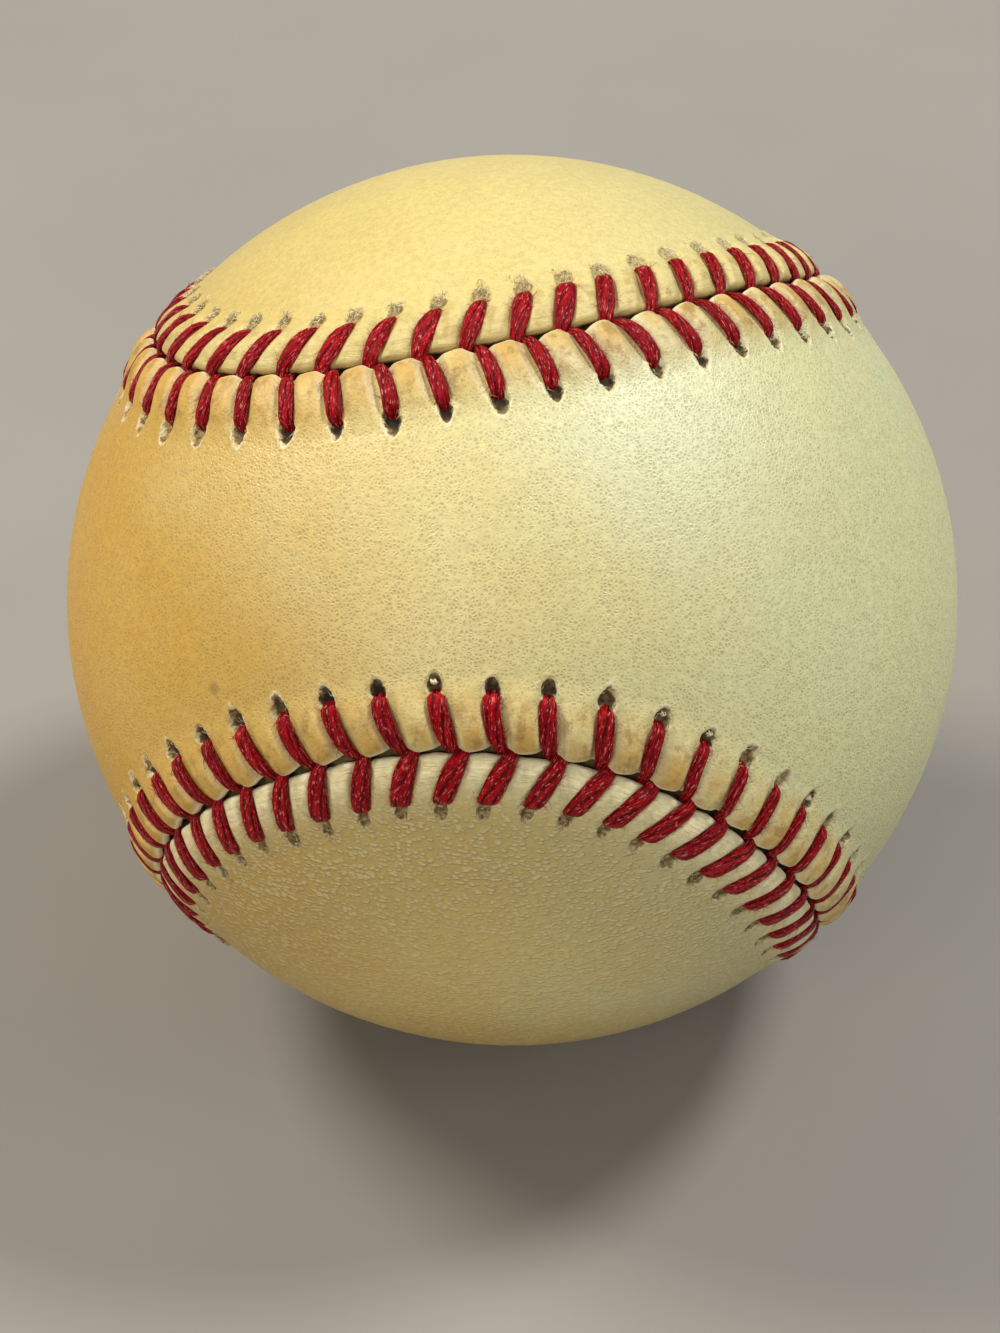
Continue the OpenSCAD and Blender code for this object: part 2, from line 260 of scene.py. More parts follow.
# The cut edge's distance from the slit. Panel A's runs out in a tongue over each gap between stitches.
EDGE_A, TONGUE, TONGUE_START, TONGUE_TIP = 0.38, 0.48, 0.05, 0.62
EDGE_B, UPPER_EDGE, EDGE_WAVE = 0.36, 0.06, 0.07
# A needle hole: half its width, how much it narrows outwards, and half its length outwards and inwards
HOLE_W, HOLE_TAPER = {A: 0.62, B: 0.92}, {A: 0.22, B: 0.05}
HOLE_OUT, HOLE_IN = {A: 1.0, B: 0.74}, 0.95


def edge_reach(side, k):
    """How far the cut edge of the leather stands from the middle of the slit."""
    wobble = along(VARY[side]["edge"], k)
    if side == A:
        p = (k - TONGUE_START) % 1
        out = np.where(p < TONGUE_TIP, p / TONGUE_TIP, (1 - p) / (1 - TONGUE_TIP))
        return EDGE_A - TONGUE * smooth(0, 1, out) + wobble
    return EDGE_B + UPPER_EDGE * upper_seam(k) + EDGE_WAVE * cos(2 * pi * k) + wobble


def valley(k, w):
    """1 under a stitch and 0 between two."""
    return fade(*VALLEY, np.abs(k - np.round(k))) * fade(*VALLEY_END, w)


def lip_shape(side, from_edge, w):
    """The lip's height as a share of its crest's."""
    crest, low = CREST[side], EDGE_SHARE[side]
    rise = np.clip(from_edge / (crest - 0.2), 0, 1)
    up = low + (1 - low) * sin(pi / 2 * rise)
    fall = np.clip((w - crest) / (RIM - crest), 0, 1)
    down = (0.5 + 0.5 * cos(pi * fall)) ** 0.85
    return np.where(w < crest, up, down)


def skin_height(side, k, w):
    """The leather's height without holes, and its valley and lip amounts."""
    from_edge = w - edge_reach(side, k)
    v = valley(k, w)
    shape = lip_shape(side, from_edge, w)
    # The lip leans over towards the far side of each tongue
    leaning = 1 + 0.1 * sin(2 * pi * (k + TONGUE_START))
    free = LIP_H[side] * along(VARY[side]["puff"], k) * shape * leaning
    roll = np.clip(1 - from_edge / ROLL_W[side], 0, 1)
    rolled = ROLL_H[side] * (1 - np.sqrt(np.clip(1 - roll * roll, 0, 1)))
    return free * (1 - v) + DRAWN_H * shape * v - rolled, v, shape


def hole_place(side, k, w):
    """Place in a needle hole: 0 in its middle and 1 at its rim, the distance along it, its even outline."""
    i = np.round(k)
    vary = VARY[side]
    size = each(vary["hole_size"] * (1 - 0.24 * POINTED[side]), i)
    x = (k - i) * PITCH - each(vary["hole_x"] + 0.22 * POINTED[side], i)
    y = w - (HOLE_REACH + 0.12) - each(vary["hole_y"], i)
    taper = 1 - HOLE_TAPER[side] * smooth(-0.3, 0.9, y)
    half = HOLE_W[side] * size * (1 - each(NARROW[side], i)) * taper
    long = np.where(y > 0, HOLE_OUT[side], HOLE_IN) * size
    outline = np.stack([np.abs(x) / half, y / long, np.zeros_like(y)], -1)
    # The leather tore a little as it was pierced, so the hole itself is ragged
    flat = beside(side, k, w, BALL - SKIN)
    x = x + 0.09 * noise(flat, 0.45, 35)
    y = y + 0.11 * noise(flat, 0.45, 36)
    return np.sqrt((x / half) ** 2 + (y / long) ** 2), y, outline


def pierced(side, k, h, flat, r, y):
    """The height with the holes sunk into it and the torn rim raised round them."""
    inside = fade(0.78, 1.06, r)
    torn = np.clip(peak(r, 1.22, 0.17) * (0.55 + 0.6 * noise(flat, 0.5, 32)), 0, 1) * smooth(-1.1, -0.2, y)
    flap = torn * (1 + 0.7 * smooth(0.2, 0.9, y) * (side == B))
    level = h * (1 - inside) + inside * np.minimum(h, 0.05)
    return level - each(HOLE_DEPTH[side], k) * inside + 0.1 * flap


def soft_field(points):
    """Slow unevenness of the leather, which only sinks below the smooth ball."""
    return -0.03 * (1 + noise(points, 11, 21)) - 0.012 * (1 + noise(points, 3.2, 22))


def add_object(name, data):
    obj = bpy.data.objects.new(name, data)
    bpy.context.scene.collection.objects.link(obj)
    return obj


def make_mesh(name, points, faces, attributes):
    """A smooth mesh in metres. Faces are arrays of corner numbers, of three or four columns each."""
    me = bpy.data.meshes.new(name)
    me.vertices.add(len(points))
    me.vertices.foreach_set("co", (np.asarray(points) @ LIE.T * MM).astype(np.float32).ravel())
    loops = np.concatenate([f.ravel() for f in faces]).astype(np.int32)
    sizes = np.concatenate([np.full(len(f), f.shape[1], np.int32) for f in faces])
    starts = np.cumsum(sizes, dtype=np.int32) - sizes
    me.loops.add(len(loops))
    me.loops.foreach_set("vertex_index", loops)
    me.polygons.add(len(sizes))
    me.polygons.foreach_set("loop_start", starts)
    me.polygons.foreach_set("use_smooth", np.ones(len(sizes), bool))
    me.update(calc_edges=True)
    for label, data in attributes.items():
        kind, field = ("FLOAT", "value") if data.ndim == 1 else ("FLOAT_VECTOR", "vector")
        me.attributes.new(label, kind, "POINT").data.foreach_set(field, data.astype(np.float32).ravel())
    me.validate()
    return add_object(name, me)


def ring_band(a, b, n):
    """Quads between two closed rings of n points each. Columns of rings give a row of bands each."""
    i = np.arange(n)
    j = (i + 1) % n
    return np.stack([a + i, a + j, b + j, b + i], -1).reshape(-1, 4)


def thinning_band(a, b, n, ratio):
    """Triangles between a ring of n * ratio points and one of n points."""
    out = []
    c = np.arange(n)
    near, far = b + c, b + (c + 1) % n
    middle = (ratio + 1) // 2
    for s in range(ratio):
        i = a + (c * ratio + s) % (n * ratio)
        j = a + (c * ratio + s + 1) % (n * ratio)
        out.append(np.stack([i, j, near if s < middle else far], -1))
        if s == middle - 1:
            out.append(np.stack([j, far, near], -1))
    return np.concatenate(out)


def spine_band(ring, spine, index):
    """Triangles between a panel's last ring and its middle line, split towards the line's ends."""
    i = np.arange(len(index))
    j = (i + 1) % len(index)
    a, b, c, d = ring + i, ring + j, spine + index[j], spine + index[i]
    end = np.isin(index[j], (0, index.max()))
    near, far = np.where(end, a, b), np.where(end, c, d)
    return np.concatenate([np.stack([a, b, far], -1), np.stack([near, c, d], -1)])


# A panel is rings of points. The columns stand closest together at a stitch.
COLUMNS = 20
u = np.arange(COLUMNS) / COLUMNS - 0.5
STITCH_COLUMNS = 0.6 * u + 1.6 * u ** 3
# Distances from the slit, over the lip and the holes. The first of them follow the cut edge.
STATIONS = [0.0, 0.05, 0.14, 0.27, 0.44, 0.66, 0.92, 1.2, 1.5, 1.8, 2.1, 2.4, 2.7, 3.0, 3.28, 3.52, 3.72,
            3.9, 4.07, 4.24, 4.42, 4.62, 4.82, 5.02, 5.2, 5.36, 5.51, 5.66, 5.82, 6.0, 6.25, 6.6]
EDGE_FOLLOWED = 1.6
# Distances in the open field, then shares of the way to the middle line
FIELD_STATIONS = [7.3, 8.1, 9.0]
SHARES = [0.07, 0.14, 0.21, 0.28, 0.35, 0.42, 0.5, 0.58, 0.66, 0.74, 0.82, 0.91]
FIELD_WAY = 18
# The foot of the cut edge, and the underside's distances and heights over the CAD's ball
FOOT_OUT, FOOT_H = 0.1, -0.74
UNDER_STATIONS = [(0.55, -0.76), (3.3, -0.76), (6.3, -0.9), (9.0, -1.0)]
UNDER_SHARES = [0.2, 0.4, 0.6, 0.8]
UNDER_FIELD_H = -1.0
# Points to a stitch in the field and on the underside
FIELD_STEPS, UNDER_STEPS = 4, 2
# A place past every needle hole's colours
NO_HOLE = 9.0


class Panel:
    """A leather panel's points, ring by ring, with what its material reads at each of them."""

    def __init__(self, side):
        self.side, self.rings, self.faces, self.count = side, [], [], 0

    def ring(self, points, seam, hole=NO_HOLE, lip=0.0, pit=0.0, rim=0.0):
        """Adds a ring. Gives its first point's number."""
        n = len(points)
        vectors = [np.broadcast_to(value, (n, 3)) for value in (seam, hole)]
        self.rings.append([points, *vectors, *(np.full(n, value) for value in (lip, pit, rim))])
        self.count += n
        return self.count - n

    def field(self, share, k, h):
        near = unit(beside(self.side, k, FIELD_REACH, BALL - SKIN))
        far = spine_direction(self.side, spine_place(self.side, k))
        return (SKIN + h) * unit(near * (1 - share) + far * share)

    def spine(self, steps):
        """Directions along the line down the middle, and their places in stitches."""
        place = np.arange(2 * QUARTER * steps + 1) / steps - QUARTER
        return spine_direction(self.side, place), place

    def close(self, outer, starts, k, steps, inward):
        """Faces from an outer ring through the rings that start at these points to the middle line."""
        n = len(k)
        bands = [thinning_band(outer, starts[0], n, COLUMNS // steps)]
        bands += [ring_band(a, b, n) for a, b in zip(starts[:-2], starts[1:-1])]
        index = np.round((spine_place(self.side, k) + QUARTER) * steps).astype(int)
        bands.append(spine_band(starts[-2], starts[-1], index))
        self.faces += [band[:, ::-1] if inward else band for band in bands]

    def mesh(self, name):
        points, *data = (np.concatenate(part) for part in zip(*self.rings))
        faces = [f[:, ::-1] for f in self.faces] if self.side == A else self.faces
        return make_mesh(name, points, faces, dict(zip(("seam", "hole", "lip", "pit", "rim"), data)))


def seam_place(k, w):
    """A place by the seam, as a ring of the seam's length and the distance from it."""
    angle = 2 * pi * k / COUNT
    around = COUNT * PITCH / (2 * pi)
    return np.stack([around * cos(angle), around * sin(angle), np.full(len(k), w)], -1)


def skin_ring(panel, k, station):
    """A ring over the lip and the holes. The first is the cut edge, painted dark with shade as the slit is.
    """
    side = panel.side
    edge = edge_reach(side, k)
    w = station + edge * np.clip(1 - station / EDGE_FOLLOWED, 0, 1)
    h, v, shape = skin_height(side, k, w)
    flat = beside(side, k, w, 0)
    r, y, outline = hole_place(side, k, w)
    crumple = CRUMPLE_H[side] * peak(w - edge, 0.35, 0.55) * (1 - v)
    h = pierced(side, k, h, flat, r, y) + crumple * noise(flat, 0.7, 33)
    h = h + 0.035 * noise(flat, 1.7, 34) * shape + soft_field(flat)
    lip = fade(1.2, 6.3, w) * (1 - 0.55 * v)
    shoulder = SHOULDER[side] * peak(np.abs(k - np.round(k)), 0.25, 0.05) * fade(2.6, 4.4, w)
    rim = np.clip(peak(w - edge, 0.1, 0.14) + shoulder, 0, 1)
    # How dark this hole is painted, as the shade inside it
    dark = each(HOLE_DARK[side], k) * fade(1.6, 1.9, r)
    outline = np.where((w < 2.2)[:, None], NO_HOLE, outline)
    if station == 0:
        # The cut edge's wall is painted dark with shade, less so along the upper seam
        h, dark, outline, rim = h - 0.22, 0.92 - 0.64 * upper_seam(k), 0.0, 0.6 * rim
    return panel.ring(beside(side, k, w, h), seam_place(k, w), outline, lip, dark, rim)


def seam_rings(panel):
    """The cut edge, the lip and the holes. The slit is painted dark as its shade: nearly black, except along
    the upper seam, where it stays olive brown.
    """
    k = (NUMBERS[:, None] + STITCH_COLUMNS).ravel()
    w = edge_reach(panel.side, k) + FOOT_OUT
    foot = beside(panel.side, k, w, FOOT_H)
    # The foot in the slit is painted dark with shade, less so along the upper seam
    starts = [panel.ring(foot, seam_place(k, w), 0.0, 1.0, 1 - 0.52 * upper_seam(k))]
    starts += [skin_ring(panel, k, station) for station in STATIONS]
    panel.faces += [ring_band(a, b, len(k)) for a, b in zip(starts, starts[1:])]
    return starts


def field_rings(panel, outer):
    k = np.arange(COUNT * FIELD_STEPS) / FIELD_STEPS - 0.5
    rings = [(beside(panel.side, k, w, 0), k, w) for w in FIELD_STATIONS]
    rings += [(panel.field(share, k, 0), k, FIELD_REACH + FIELD_WAY * share) for share in SHARES]
    line, place = panel.spine(FIELD_STEPS)
    rings.append((SKIN * line, place, FIELD_REACH + FIELD_WAY))
    starts = [panel.ring(points * (1 + soft_field(points) / SKIN)[:, None], seam_place(at, w))
              for points, at, w in rings]
    panel.close(outer, starts, k, FIELD_STEPS, False)


def under_rings(panel, outer):
    k = np.arange(COUNT * UNDER_STEPS) / UNDER_STEPS - 0.5
    rings = []
    for w, h in UNDER_STATIONS:
        reach = w + (edge_reach(panel.side, k) if w < 1 else 0)
        rings.append(beside(panel.side, k, reach, BALL - SKIN + h))
    rings += [panel.field(share, k, BALL - SKIN + UNDER_FIELD_H) for share in UNDER_SHARES]
    rings.append((BALL + UNDER_FIELD_H) * panel.spine(UNDER_STEPS)[0])
    starts = [panel.ring(points, 0.0, 0.0, pit=0.5) for points in rings]
    panel.close(outer, starts, k, UNDER_STEPS, True)


def leather_panel(name, side):
    panel = Panel(side)
    starts = seam_rings(panel)
    field_rings(panel, starts[-1])
    under_rings(panel, starts[0])
    return panel.mesh(name)


# A visible stitch, from a hole, over the lip and down the slit: distance from the slit, height, width and
# thickness. Heights in the rows over the lip are over it, and the others over the smooth face.
LEG = [(4.75, -0.94, 0.84, 0.34), (4.52, -0.80, 1.00, 0.42), (4.30, -0.42, 1.22, 0.50),
       (4.06, 0.10, 1.40, 0.56), (3.55, 0.24, 1.50, 0.60), (2.75, 0.27, 1.54, 0.60), (2.00, 0.27, 1.52, 0.60),
       (1.30, 0.25, 1.42, 0.58), (0.72, 0.19, 1.28, 0.54), (0.24, -0.04, 1.12, 0.48),
       (-0.14, -0.36, 0.98, 0.42), (-0.55, -0.80, 0.85, 0.36)]
LIP_ROWS = range(4, 9)
LEG_RINGS = 16
WIDTH_SHARE = {A: 0.95, B: 1.04}
BOW = {A: 0.05, B: 0.02}
# The hidden thread: width, thickness, and depth where it turns up into a hole and in between
HIDDEN_W, HIDDEN_T = 0.85, 0.36
DEEP, HALF_DEEP = 1.12, 0.95
# The twist: how far each of a ply's corners is drawn in, its colour, darker in the groove as painted shade,
# and the length of a turn
PLIES = 6
CORNER_GROOVES = (0.1, 0.02, 0.0, 0.02)
CORNER_GROOVE_SHADES = (0.0, 0.65, 1.0, 0.65)
RIBS = PLIES * len(CORNER_GROOVES)
LAY = 24.0
# Below 1, the thread's section is fuller than an ellipse
FULLNESS = 0.8
# How the fibres' pattern is scaled along the thread and round it
LAY_RUN, LAY_ROUND = 0.9, 4.2


def spline(table, count):
    """Points on a smooth curve through the rows of a table."""
    table = np.asarray(table, float)
    t = np.linspace(0, len(table) - 1, count)
    i = np.clip(np.floor(t).astype(int), 0, len(table) - 2)
    f = (t - i)[:, None]
    p0, p1 = table[np.maximum(i - 1, 0)], table[i]
    p2, p3 = table[i + 1], table[np.minimum(i + 2, len(table) - 1)]
    return 0.5 * (2 * p1 + (p2 - p0) * f + (2 * p0 - 5 * p1 + 4 * p2 - p3) * f ** 2
                  + (3 * p1 - p0 - 3 * p2 + p3) * f ** 3)


def leg_rows(side, stitch):
    """A visible stitch's points, seam travel, widths and thicknesses."""
    vary = {name: values[stitch] for name, values in VARY[side].items()}
    pointed = POINTED[side][stitch]
    table = []
    for row, (w, h, width, thick) in enumerate(LEG):
        tip = pointed * smooth(2.4, 4.2, w)
        if row in LIP_ROWS:
            h += float(skin_height(side, np.array(float(stitch)), np.array(w))[0]) + vary["lift"]
        else:
            h -= 0.2 * tip
        width *= vary["width"] * WIDTH_SHARE[side] * (1 - 0.5 * tip) * (1 - SLIM[side][stitch])
        table.append([w, h, width, thick])
    w, h, widths, thicks = spline(table, LEG_RINGS).T
    share = np.clip(w / HOLE_REACH, 0, 1)
    k = stitch + vary["swing"] * (1 - share) + (vary["bow"] + BOW[side]) * sin(pi * share)
    k = k + vary["hole_x"] / PITCH * share + 0.075 * pointed * smooth(2.4, 4.4, w)
    return beside(side, k, w, h), travel_at(k + lean(side, w)), widths, thicks


def under_run(run, following, shares=(0.45, 0.92), depths=(HALF_DEEP, DEEP)):
    a, b = run[0][-1], following[0][0]
    points = np.array([unit(a * (1 - s) + b * s) * (BALL - depth) for s, depth in zip(shares, depths)])
    travel = np.array([unit(run[1][-1] * (1 - s) + following[1][0] * s) for s in shares])
    return points, travel, np.full(len(shares), HIDDEN_W), np.full(len(shares), HIDDEN_T)


def needle_run(first_side):
    """One needle's way from the last stitch to the first, changing sides at each."""
    legs = [leg_rows(first_side if i % 2 == 0 else -first_side, COUNT - 1 - i) for i in range(COUNT)]
    out = legs[:1]
    for leg, following in zip(legs, legs[1:]):
        out += [under_run(leg, following), following]
    return out


def flipped(run):
    return tuple(part[::-1] for part in run)


def thread_route():
    """The whole thread: one needle's way, backwards, and then the other's."""
    half_a, half_b = needle_run(A), needle_run(B)
    joint = under_run(flipped(half_a[0]), half_b[0], (0.05, 0.5, 0.95), (DEEP, HALF_DEEP, DEEP))
    parts = [flipped(run) for run in half_a[::-1]] + [joint] + half_b
    return [np.concatenate(column) for column in zip(*parts)]


def on_line(length, z=0):
    return np.stack([length, 0 * length, 0 * length + z], -1)


def thread_rings(length, points, travel, width, thick):
    """The thread's rings, twisted along its length and drawn in between the plies."""
    tangent = unit(np.gradient(points, axis=0))
    broad = unit(travel - tangent * (travel * tangent).sum(-1, keepdims=True))
    up = np.cross(tangent, broad)
    lay = 2 * pi * length / LAY + 0.35 * noise(on_line(length), 9, 41)
    angle = 2 * pi * np.arange(RIBS) / RIBS + lay[:, None]
    x, y = (np.sign(c) * np.abs(c) ** FULLNESS for c in (cos(angle), sin(angle)))
    swell = 1 + 0.05 * noise(on_line(length, 5), 1.8, 42)
    half_t = (thick / 2)[:, None]
    x, y = x * (width * swell / 2)[:, None], y * half_t
    radius = np.sqrt(x ** 2 + y ** 2)
    grooves = np.tile(CORNER_GROOVES, PLIES) * (half_t / 0.3)
    keep = 1 - np.minimum(grooves, 0.4 * radius) / radius
    x, y = (x * keep)[..., None], (y * keep)[..., None]
    return points[:, None] + broad[:, None] * x + up[:, None] * y


def thread_mesh(name):
    route = thread_route()
    points = route[0]
    n = len(points)
    length = np.concatenate([[0], np.cumsum(np.linalg.norm(np.diff(points, axis=0), axis=1))])
    body = thread_rings(length, *route).reshape(-1, 3)
    body = np.concatenate([body, points[:1], points[-1:]])
    first = RIBS * np.arange(n - 1)[:, None]
    j = np.arange(RIBS)
    following = (j + 1) % RIBS
    last = (n - 1) * RIBS
    fan_a = np.stack([following, j, 0 * j + n * RIBS], -1)
    fan_b = np.stack([last + j, last + following, 0 * j + n * RIBS + 1], -1)
    run = LAY_RUN * length
    round_x, round_y = (np.tile(LAY_ROUND * f(2 * pi * j / RIBS), n) for f in (cos, sin))
    lay = np.stack([np.repeat(run, RIBS), round_x, round_y], -1)
    attributes = {"ply": np.concatenate([np.tile(CORNER_GROOVE_SHADES, PLIES * n), [0.5, 0.5]]),
                  "lay": np.concatenate([lay, [(0, 0, 0), (run[-1], 0, 0)]])}
    return make_mesh(name, body, [ring_band(first, first + RIBS, RIBS), fan_a, fan_b], attributes)


HAIR_SIDES = 3
HAIR_SKEW = np.array([[0.31, 0.17, -0.23]])


def hairs_mesh(name, strands):
    """Fine tapered hairs. A strand is its points, its radius and a number that shades it."""
    parts, at = [], 0
    corner = np.arange(HAIR_SIDES)
    turn = (2 * pi * corner / HAIR_SIDES)[:, None]
    for path, radius, shade in strands:
        n = len(path)
        tangent = unit(np.gradient(path, axis=0))
        side = unit(np.cross(tangent, unit(path[:1] + HAIR_SKEW)))
        other = np.cross(tangent, side)
        taper = np.linspace(1, 0.25, n)[:, None, None] * radius
        ring = path[:, None] + taper * (side[:, None] * cos(turn) + other[:, None] * sin(turn))
        first = at + HAIR_SIDES * np.arange(n - 1)[:, None]
        ends = np.stack([at + corner[::-1], first[-1] + HAIR_SIDES + corner])
        bands = ring_band(first, first + HAIR_SIDES, HAIR_SIDES)
        parts.append((ring.reshape(-1, 3), bands, ends, np.full(n * HAIR_SIDES, shade)))
        at += n * HAIR_SIDES
    points, bands, ends, shades = (np.concatenate(part) for part in zip(*parts))
    return make_mesh(name, points, [bands, ends], {"shade": shades})


FUZZ_COUNT = 14


def thread_fuzz():
    """Loose fibres that stand out from the edges of the visible stitches."""
    draw = np.random.default_rng(FUZZ_SEED)
    t = np.linspace(0, 1, 4)[:, None]
    strands = []
    for points, travel, width, thick in (leg_rows(side, k) for side in (A, B) for k in NUMBERS):
        tangent = unit(np.gradient(points, axis=0))
        up = unit(points)
        for _ in range(FUZZ_COUNT):
            i = draw.integers(4, LEG_RINGS - 5)
            out = draw.choice([-1, 1])
            start = points[i] + travel[i] * out * width[i] * 0.47 + up[i] * thick[i] * draw.uniform(-0.1, 0.3)
            reach = draw.uniform(0.25, 0.95)
            bend = draw.uniform(-0.6, 0.6)
            outwards = travel[i] * out * draw.uniform(0.3, 1)
            lengthwise = tangent[i] * draw.choice([-1, 1]) * draw.uniform(0.4, 1.4)
            way = unit(outwards + lengthwise + up[i] * draw.uniform(0.05, 0.5))
            path = start + reach * (way * t + np.cross(way, up[i]) * bend * t * t * 0.5)
            strands.append((path, draw.uniform(0.016, 0.032), draw.uniform(0, 1)))
    return hairs_mesh("thread_fibres", strands)


# Fibres in a hole of panel B, as tufts that stand up or short ends that lie low: how many, their spread, how
# far they are past the hole's place, their share of the full length, their foot's height and their rise
TUFT = (36, 0.33, 0.28, 1.0, -0.06, (0.14, 0.46))
STUB = (9, 0.42, 0.5, 0.5, 0.0, (0.02, 0.12))
EDGE_FIBRES = 6


def hole_fibre(draw, stitch, spread, past, share, foot, rises):
    flat, pointed = FLAT_TUFTS[stitch], POINTED[B][stitch]
    x0 = draw.normal(0, spread) / PITCH * (1 - 0.3 * pointed) + 0.06 * pointed
    y0 = draw.normal(HOLE_REACH + past, 0.34)
    turn = draw.uniform(0, 2 * pi)
    reach = draw.uniform(0.35, 0.95) * share
    curl = draw.uniform(1.2, 3.6) * draw.choice([-1, 1])
    t = np.linspace(0, 1, 6)
    dx, dy = (np.cumsum(f(turn + curl * t)) * reach / len(t) for f in (cos, sin))
    rise = draw.uniform(*rises) * (1 - 0.65 * flat)
    h = foot + rise * sin(pi * np.clip(t * 0.8 + 0.1, 0, 1))
    x = VARY[B]["hole_x"][stitch] / PITCH + x0 + dx / PITCH
    return beside(B, stitch + x, y0 + dy, h), draw.uniform(0.028, 0.062), draw.uniform(0, 1)


def edge_fibre(draw, stitch):
    """One short fibre that bends over the edge of a needle hole of panel A."""
    y0 = HOLE_REACH + draw.uniform(-0.6, 0.9)
    x0 = draw.choice([-1, 1]) * draw.uniform(0.45, 0.62)
    t = np.linspace(0, 1, 4)
    heading = draw.uniform(-0.8, 0.8) + pi / 2
    reach = draw.uniform(0.2, 0.5)
    x = (VARY[A]["hole_x"][stitch] + x0 - 0.25 * x0 * t + cos(heading) * reach * t) / PITCH
    path = beside(A, stitch + x, y0 + sin(heading) * reach * t, 0.06 + 0.1 * sin(pi * t))
    return path, draw.uniform(0.014, 0.026), draw.uniform(0, 1)


def yarn_end(stitch, radius):
    """A white end of yarn in a needle hole of panel A, as three strands."""
    t = np.linspace(0, 1, 6)
    h = -0.42 + 0.4 * sin(pi * np.clip(t, 0, 0.8))
    middle = stitch + VARY[A]["hole_x"][stitch] / PITCH
    return [(beside(A, middle + x0 + 0.02 * t, reach + 0.38 * t, h), radius, 1.4)
            for x0, reach in ((0.0, 5.02), (0.035, 5.1), (-0.035, 5.08))]


def leather_fibres():
    draw = np.random.default_rng(TUFT_SEED)
    strands = []
    for stitch in range(COUNT):
        many, *kind = TUFT if TUFTED[stitch] else STUB
        many = int(many - 16 * FLAT_TUFTS[stitch])
        strands += [hole_fibre(draw, stitch, *kind) for _ in range(many)]
    for stitch in range(COUNT):
        strands += [edge_fibre(draw, stitch) for _ in range(EDGE_FIBRES)]
    for stitch, radius in WHITE_ENDS:
        strands += yarn_end(stitch, radius)
    return hairs_mesh("leather_fibres", strands)


def srgb(*levels):
    """The linear colour of three levels from 0 to 255."""
    shares = [level / 255 for level in levels]
    return (*(c / 12.92 if c <= 0.04045 else ((c + 0.055) / 1.055) ** 2.4 for c in shares), 1)


class Nodes:
    def __init__(self, owner):
        self.owner = owner
        owner.use_nodes = True
        self.nodes, self.links = owner.node_tree.nodes, owner.node_tree.links

    def put(self, socket, value):
        if isinstance(value, bpy.types.NodeSocket):
            self.links.new(value, socket)
        else:
            socket.default_value = value

    def node(self, kind, inputs=None, **settings):
        """A new node's outputs."""
        n = self.nodes.new("ShaderNode" + kind)
        for key, value in settings.items():
            setattr(n, key, value)
        for key, value in (inputs or {}).items():
            self.put(n.inputs[key], value)
        return n.outputs


class Material(Nodes):
    """A material whose nodes are written as sums. It is m in the functions below."""

    def __init__(self, name):
        super().__init__(bpy.data.materials.new(name))
        self.bsdf = self.nodes["Principled BSDF"]
        self.where = self.place()

    def done(self, colour, rough, **others):
        """Sets the surface and gives the material."""
        for key, value in {"Base Color": colour, "Roughness": rough, **others}.items():
            self.put(self.bsdf.inputs[key.replace("_", " ")], value)
        return self.owner

    def math(self, how, *values, clamp=False):
        return self.node("Math", dict(enumerate(values)), operation=how, use_clamp=clamp)[0]

    def times(self, *values):
        return reduce(lambda a, b: self.math("MULTIPLY", a, b), values)

    def plus(self, *values):
        return reduce(lambda a, b: self.math("ADD", a, b), values)

    def scaled(self, value, factor, added):
        return self.math("MULTIPLY_ADD", value, factor, added)

    def ramp(self, value, low, high, to_low=0.0, to_high=1.0):
        inputs = {"Value": value, "From Min": low, "From Max": high, "To Min": to_low, "To Max": to_high}
        return self.node("MapRange", inputs, interpolation_type="SMOOTHSTEP")[0]

    def mix(self, share, a, b, how="MIX"):
        """Two colours mixed. Each is a socket, or three levels from 0 to 255."""
        a, b = (srgb(*c) if isinstance(c, tuple) else c for c in (a, b))
        return self.node("Mix", {0: share, 6: a, 7: b}, data_type="RGBA", blend_type=how)[2]

    def over(self, colour, *layers):
        """A colour with others over it, each in its share."""
        for share, other in layers:
            colour = self.mix(share, colour, other)
        return colour

    def place(self, scale=(1, 1, 1), turn=(0, 0, 0), source=None):
        """Places in the ball's own frame, scaled and turned."""
        source = source or self.node("TexCoord")["Object"]
        return self.node("Mapping", {"Vector": source, "Scale": scale, "Rotation": turn})[0]

    def split(self, vector):
        return self.node("SeparateXYZ", {"Vector": vector})

    def noise(self, scale, detail=2.0, rough=0.5, distortion=0.0, where=None, output=0):
        inputs = {"Vector": where or self.where, "Scale": scale, "Detail": detail, "Roughness": rough,
                  "Distortion": distortion}
        return self.node("TexNoise", inputs)[output]

    def cells(self, where, scale, randomness=1.0, **settings):
        inputs = {"Vector": where, "Scale": scale, "Randomness": randomness}
        return self.node("TexVoronoi", inputs, **settings)

    def attribute(self, name, output="Fac"):
        return self.node("Attribute", attribute_name=name)[output]

    def bump(self, height, depth, strength=1.0):
        return self.node("Bump", {"Height": height, "Distance": depth, "Strength": strength})[0]


# The leather's colours: the hide's on each panel, and the lip's
CREAM = {A: (236, 224, 159), B: (234, 217, 143)}
AMBER = {A: (221, 168, 50), B: (225, 184, 84)}
LIP = {A: (214, 168, 76), B: (250, 238, 190)}
GREEN_GREY, WORN, PAINTED_HIGHLIGHT = (227, 231, 179), (234, 226, 172), (226, 230, 196)
# The second of these darkens panel B lower down: painted shade
SOILED, LOW_PAINTED_SHADE, PORE = (170, 131, 60), (168, 130, 66), (158, 138, 76)
# The second of these darkens panel B's top, where the lamps light it most: painted shade
UPPER_LIP, TOP_PAINTED_SHADE, STAIN = (226, 204, 138), (222, 202, 126), (122, 96, 52)
